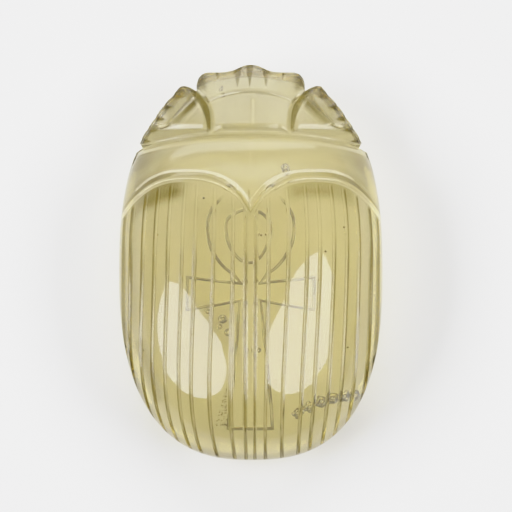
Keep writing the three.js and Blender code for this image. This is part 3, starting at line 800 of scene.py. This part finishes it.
class Solid:
    """A mesh that grows ring by ring."""

    def __init__(self):
        self.points = []
        self.faces = []
        self.flat = []
        self.frost = []
        self.stain = []

    def add(self, points, frost=0.0, stain=0.0):
        start = len(self.points)
        self.points.extend(map(tuple, points))
        self.frost.extend(np.broadcast_to(frost, len(points)))
        self.stain.extend(np.broadcast_to(stain, len(points)))
        return np.arange(start, start + len(points))

    def grid(self, points, frost, stain):
        rows, columns = points.shape[:2]
        index = self.add(points.reshape(-1, 3), frost.reshape(-1), stain.reshape(-1))
        index = index.reshape(rows, columns)
        a, b, c, d = index[:-1, :-1], index[:-1, 1:], index[1:, 1:], index[1:, :-1]
        self.faces.extend(np.stack([a, b, c, d], axis=-1).reshape(-1, 4).tolist())
        return np.concatenate([index[0], index[1:, -1], index[-1, -2::-1], index[-2:0:-1, 0]])

    def strip(self, upper, lower):
        """Quads from one closed ring to the next one down, facing out when both run anticlockwise."""
        quads = np.stack([upper, lower, np.roll(lower, -1), np.roll(upper, -1)], axis=-1)
        self.faces.extend(quads.tolist())

    def floor(self, *rings):
        """A flat face that looks down: the first ring, with the others as holes."""
        flat = [[(self.points[i][0], self.points[i][1], 0.0) for i in ring] for ring in rings]
        index = np.concatenate(rings)
        triangles = index[np.array(tessellate_polygon(flat))]
        p, q, r = (np.array(self.points)[triangles[:, k], :2] for k in range(3))
        turn = (q - p)[:, 0] * (r - p)[:, 1] - (q - p)[:, 1] * (r - p)[:, 0]
        if turn.sum() > 0:
            triangles = triangles[:, ::-1]
        self.flat.extend(range(len(self.faces), len(self.faces) + len(triangles)))
        self.faces.extend(triangles.tolist())

    def weld(self):
        """Joins points that coincide, and drops the faces that collapse."""
        keys = np.round(np.array(self.points) / WELD).astype(int)
        first, index = np.unique(keys, axis=0, return_index=True, return_inverse=True)[1:]
        index = index.reshape(-1)
        self.points = [self.points[i] for i in first]
        self.frost, self.stain = [self.frost[i] for i in first], [self.stain[i] for i in first]
        flat = set(self.flat)
        corners = [list(dict.fromkeys(index[face].tolist())) for face in self.faces]
        faces = [(face, i in flat) for i, face in enumerate(corners) if len(face) > 2]
        self.faces = [face for face, _ in faces]
        self.flat = [i for i, (_, is_flat) in enumerate(faces) if is_flat]


def towards_plinth(points, share):
    """Moves points of the widest outline a share of the way in to the plinth's oval."""
    x, dy = points[:, 0], points[:, 1] - MIDDLE_Y
    power = PLINTH.squareness
    size = np.abs(x / PLINTH.half_width) ** power + np.abs(dy / PLINTH.half_length) ** power
    scale = mix(1, size ** (-1 / power), share)
    return x * scale, MIDDLE_Y + dy * scale


def leg_height(y, z):
    """1 along the middle of each leg's raised band on the side wall."""
    total = np.zeros_like(y)
    for (y0, z0), (y1, z1) in LEGS:
        total = np.maximum(total, stroke(y, np.full_like(y, z), y0, z0, y1, z1, LEG.half_width))
    return total


def add_wall(solid, ring):
    widest = np.array([solid.points[i] for i in ring])
    for share, z in WALL:
        raised = leg_height(widest[:, 1], z) * LEG.share * share * (LEG.low < z < LEG.high)
        x, y = towards_plinth(widest, share - raised)
        frost = FROST.wall if z > 0 else BASE_FROST
        lower = solid.add(np.stack([x, y, np.full_like(x, z)], axis=-1), frost)
        solid.strip(ring, lower)
        ring = lower
    return ring


def egg(shape, turn):
    """Points of an oval with its own heights above and below its middle, clockwise from its top."""
    height = np.where(np.cos(turn) > 0, shape.top, shape.bottom)
    x = shape.x + shape.half_width * np.sin(turn)
    return np.stack([x, shape.y + height * np.cos(turn)], axis=-1)


def densify(loop, step):
    """Adds points along a closed loop's straight stretches."""
    points = []
    for start, end in zip(loop, np.roll(loop, -1, axis=0)):
        count = max(1, int(np.hypot(*(end - start)) / step))
        points += [mix(start, end, k / count) for k in range(count)]
    return np.array(points)


def ankh_loop():
    neck = math.asin(LOOP.neck_x / LOOP.half_width)
    right = list(egg(LOOP, np.linspace(0, math.pi - neck, LOOP_POINTS)))
    right += [
        (ARM.inner_x, ARM.inner_top_y), (ARM.x, ARM.top_y), (ARM.x, ARM.bottom_y),
        (ARM.inner_x, ARM.inner_bottom_y), (STEM.waist_x, STEM.waist_y),
        (STEM.foot_x, STEM.foot_y),
    ]
    left = [(-x, y) for x, y in right[:0:-1]]
    return densify(np.array(right + left, float), LINE_STEP)


def offset_loop(loop, distance):
    """Moves a closed clockwise loop out, on the bisector at each point."""
    def side(a, b):
        step = b - a
        return np.stack([-step[:, 1], step[:, 0]], axis=-1) / np.hypot(*step.T)[:, None]
    before, after = side(np.roll(loop, 1, axis=0), loop), side(loop, np.roll(loop, -1, axis=0))
    out = before + after
    return loop + out * (distance / (1 + (before * after).sum(axis=1)))[:, None]


def add_engraving(solid, loop):
    """A rounded groove along a closed loop in the underside: returns its outer and inner lips."""
    waves = [np.sin(loop[:, i] * rate + phase) for i, (rate, phase) in enumerate(ENGRAVING_PATCHES)]
    patches = 0.5 + 0.5 * waves[0] * waves[1]
    fade = smooth(*ENGRAVING.ends, loop[:, 1])
    rings = []
    for across in np.linspace(1, -1, LINE_SECTION):
        flat = offset_loop(loop, across * ENGRAVING.half_width)
        depth = ENGRAVING.depth * math.sqrt(max(0, 1 - across**2)) * mix(ENGRAVING.least, 1, fade)
        inside = fade * (abs(across) < 1)
        frost = BASE_FROST + inside * ENGRAVING.frost
        stain = inside * (ENGRAVING.stain + ENGRAVING.uneven * patches)
        rings.append(solid.add(np.column_stack([flat, depth]), frost, stain))
    for outer, inner in zip(rings, rings[1:]):
        solid.strip(inner, outer)
    return rings[0], rings[-1]


def add_lathe(solid, centre, profile, segments):
    """Rings about a vertical line through centre, one for each (radius, height) of a profile."""
    turn = np.linspace(0, 2 * np.pi, segments, endpoint=False)
    rings = []
    for radius, height in profile:
        x, y = centre[0] + radius * np.cos(turn), centre[1] + radius * np.sin(turn)
        rings.append(solid.add(np.column_stack([x, y, np.full_like(x, centre[2] + height)])))
    return rings


def add_ball(solid, centre, radius, segments, hollow=False):
    """A small solid ball, or a hollow whose faces look in to its centre."""
    tilts = (np.arange(segments // 2) + 0.5) * 2 * np.pi / segments
    profile = [(radius * math.sin(t), radius * math.cos(t)) for t in tilts]
    rings = add_lathe(solid, centre, profile, segments)
    start = len(solid.faces)
    for upper, lower in zip(rings, rings[1:]):
        solid.strip(upper, lower)
    solid.faces.append(rings[0].tolist())
    solid.faces.append(rings[-1][::-1].tolist())
    if hollow:
        solid.faces[start:] = [face[::-1] for face in solid.faces[start:]]


def add_ring(solid, centre, radius):
    """A dark ring of painted shade round a bubble, for the dark rim that a bubble shows in the glass."""
    middle, thickness = RING.radius * radius, RING.thickness * radius
    section = np.linspace(0, 2 * np.pi, RING.section, endpoint=False)
    profile = [(middle + thickness * math.cos(t), -thickness * math.sin(t)) for t in section]
    rings = add_lathe(solid, centre, profile, RING.segments)
    for upper, lower in zip(rings, rings[1:] + rings[:1]):
        solid.strip(upper, lower)


def bubbles():
    """Centre and radius of every bubble: the scattered ones, and the clusters along the string."""
    found = list(BUBBLES)
    string = BUBBLE_STRING
    rng = np.random.default_rng(string.seed)
    for along in np.linspace(0, 1, string.clusters):
        middle = mix(np.array(string.start), np.array(string.end), along)
        middle = middle + [0, string.bow * math.sin(math.pi * along), 0]
        found.append((*middle, rng.uniform(*string.radii)))
        for turn in string.small_turns:
            away = string.spread * rng.uniform(*string.spread_shares)
            out = away * np.array([math.cos(turn + along), math.sin(turn + along), string.lift])
            found.append((*(middle + out), rng.uniform(*string.small_radii)))
    return found


def smudge():
    """Fine dark specks in a wedge beside the foot of the stem."""
    rng = np.random.default_rng(SMUDGE.seed)
    for _ in range(SMUDGE.count):
        up = rng.uniform(0, 1) ** SMUDGE.foot_power
        left = rng.uniform(0, 1) ** SMUDGE.stem_power * (1 - up)
        offset = (-left * SMUDGE.across, up * SMUDGE.along, rng.uniform(0, SMUDGE.deep))
        yield (*(np.array(SMUDGE.corner) + offset), rng.uniform(*SMUDGE.radii))


def build_specks():
    specks = Solid()
    for x, y, z, radius in bubbles():
        if radius < SMALLEST_BUBBLE:
            add_ball(specks, (x, y, z), radius, BALL_SEGMENTS.speck)
        else:
            add_ring(specks, (x, y, z), radius)
    for x, y, z, radius in (*FLAKES, *smudge()):
        add_ball(specks, (x, y, z), radius, BALL_SEGMENTS.speck)
    return specks


def build_scarab():
    solid = Solid()
    base = add_wall(solid, solid.grid(*carved_top()))
    ankh_out, ankh_in = add_engraving(solid, ankh_loop())
    eye = egg(EYE, np.linspace(0, 2 * np.pi, EYE_POINTS, endpoint=False))
    eye_out, eye_in = add_engraving(solid, eye)
    solid.floor(base, ankh_out)
    solid.floor(ankh_in, eye_out)
    solid.floor(eye_in)
    for x, y, z, radius in bubbles():
        if radius >= SMALLEST_BUBBLE:
            add_ball(solid, (x, y, z), radius, BALL_SEGMENTS.bubble, hollow=True)
    solid.weld()
    return solid


def make_object(name, points, faces, material, flat=()):
    mesh = bpy.data.meshes.new(name)
    mesh.from_pydata([tuple(c * MM for c in point) for point in points], [], faces)
    mesh.shade_smooth()
    mesh.set_sharp_from_angle(angle=math.radians(SHARP_DEGREES))
    for index in flat:
        mesh.polygons[index].use_smooth = False
    mesh.materials.append(material)
    made = bpy.data.objects.new(name, mesh)
    bpy.context.scene.collection.objects.link(made)
    return made


def node(tree, kind, location=(0, 0), **values):
    made = tree.nodes.new(kind)
    made.location = location
    for key, value in values.items():
        if key in made.inputs:
            made.inputs[key].default_value = value
        else:
            setattr(made, key, value)
    return made


def glass_material():
    """Clear glass, tinted by what it absorbs, ground matt where frost is 1, and darkened to the stain colour
    where the stain and painted shade attribute is 1.
    """
    material = bpy.data.materials.new("glass")
    material.use_nodes = True
    tree = material.node_tree
    shader = tree.nodes["Principled BSDF"]
    shader.inputs["Transmission Weight"].default_value = GLASS_CLEARNESS
    shader.inputs["IOR"].default_value = GLASS_IOR
    frost = node(tree, "ShaderNodeAttribute", (-800, 0), attribute_name="frost")
    rough = node(tree, "ShaderNodeMapRange", (-400, 0), **{"To Min": POLISHED, "To Max": GROUND})
    tree.links.new(frost.outputs["Fac"], rough.inputs["Value"])
    tree.links.new(rough.outputs["Result"], shader.inputs["Roughness"])
    stain = node(tree, "ShaderNodeAttribute", (-800, 300), attribute_name="stain")
    tint = node(tree, "ShaderNodeMix", (-400, 300), data_type="RGBA")
    tint.inputs["A"].default_value, tint.inputs["B"].default_value = CLEAR_COLOR, STAIN_AND_SHADE_COLOR
    tree.links.new(stain.outputs["Fac"], tint.inputs["Factor"])
    tree.links.new(tint.outputs["Result"], shader.inputs["Base Color"])
    volume = node(tree, "ShaderNodeVolumeAbsorption", (0, -300))
    volume.inputs["Color"].default_value = ABSORPTION.color
    volume.inputs["Density"].default_value = ABSORPTION.density
    tree.links.new(volume.outputs["Volume"], tree.nodes["Material Output"].inputs["Volume"])
    return material


def make_scarab():
    solid = build_scarab()
    scarab = make_object("scarab_glass", solid.points, solid.faces, glass_material(), solid.flat)
    for name in ("frost", "stain"):
        attribute = scarab.data.attributes.new(name, "FLOAT", "POINT")
        attribute.data.foreach_set("value", np.array(getattr(solid, name), np.float32))
    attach(scarab, "root")
    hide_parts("scarab")


def plain_material(name, color, roughness):
    material = bpy.data.materials.new(name)
    material.use_nodes = True
    shader = material.node_tree.nodes["Principled BSDF"]
    shader.inputs["Base Color"].default_value = color
    shader.inputs["Roughness"].default_value = roughness
    return material


def make_specks():
    solid = build_specks()
    # The dark dots and rings are painted shade for bubbles; the flakes and the smudge are dark inclusions.
    material = plain_material("inclusions_and_bubble_shade", SPECK_COLOR, SPECK_ROUGHNESS)
    specks = make_object("scarab_inclusions", solid.points, solid.faces, material)
    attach(specks, "root")
    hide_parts("scarab")


def make_floor():
    half, z = FLOOR.half_size, FLOOR.z
    corners = [(-half, -half, z), (half, -half, z), (half, half, z), (-half, half, z)]
    material = plain_material("floor", FLOOR.color, FLOOR.roughness)
    floor = make_object("floor", corners, [(0, 1, 2, 3)], material)


def add_softbox(name, azimuth, elevation, roll, width, height, radiance, lighting=True, shining=True):
    """An area light that faces the object. Azimuth runs anticlockwise from +X. Shining lights show in
    reflections, and lighting ones light the floor and what is seen through the glass."""
    data = bpy.data.lights.new(name, "AREA")
    data.shape = "ELLIPSE"
    data.size, data.size_y = width * LIGHT_DISTANCE, height * LIGHT_DISTANCE
    data.energy = radiance * math.pi * data.size * data.size_y * math.pi / 4
    light = bpy.data.objects.new(name, data)
    a, e = math.radians(azimuth), math.radians(elevation)
    towards = Vector((math.cos(e) * math.cos(a), math.cos(e) * math.sin(a), math.sin(e)))
    light.location = towards * LIGHT_DISTANCE
    light.rotation_mode = "QUATERNION"
    roll_turn = Quaternion((0, 0, 1), math.radians(roll))
    light.rotation_quaternion = towards.to_track_quat("Z", "Y") @ roll_turn
    light.visible_glossy = shining
    light.visible_diffuse = light.visible_transmission = lighting
    bpy.context.scene.collection.objects.link(light)


def make_lights():
    for name, box in SOFTBOXES.items():
        add_softbox("softbox_" + name, **box)
    world = bpy.data.worlds.new("studio")
    world.use_nodes = True
    background = world.node_tree.nodes["Background"]
    background.inputs["Color"].default_value = (1, 1, 1, 1)
    background.inputs["Strength"].default_value = FILL
    bpy.context.scene.world = world


def set_tone():
    """A bright exposure whose whites roll off softly."""
    view = bpy.context.scene.view_settings
    view.view_transform = "Standard"
    view.use_curve_mapping = True
    view.curve_mapping.white_level = (TONE_WHITE,) * 3
    curve = view.curve_mapping.curves[3]
    curve.points[0].location = TONE_CURVE[0]
    curve.points[1].location = TONE_CURVE[-1]
    for x, y in TONE_CURVE[1:-1]:
        curve.points.new(x, y)
    view.curve_mapping.update()


def make_camera():
    data = bpy.data.cameras.new("camera")
    data.sensor_width = SENSOR_WIDTH
    data.lens = data.sensor_width * (CAMERA.height - WIDEST_Z) / CAMERA.view
    data.clip_start, data.clip_end = 0.01, 10
    camera = bpy.data.objects.new("camera", data)
    camera.location = (CAMERA.x * MM, CAMERA.y * MM, CAMERA.height * MM)
    bpy.context.scene.collection.objects.link(camera)
    bpy.context.scene.camera = camera


make_scarab()
make_specks()
make_floor()
make_lights()
set_tone()
make_camera()
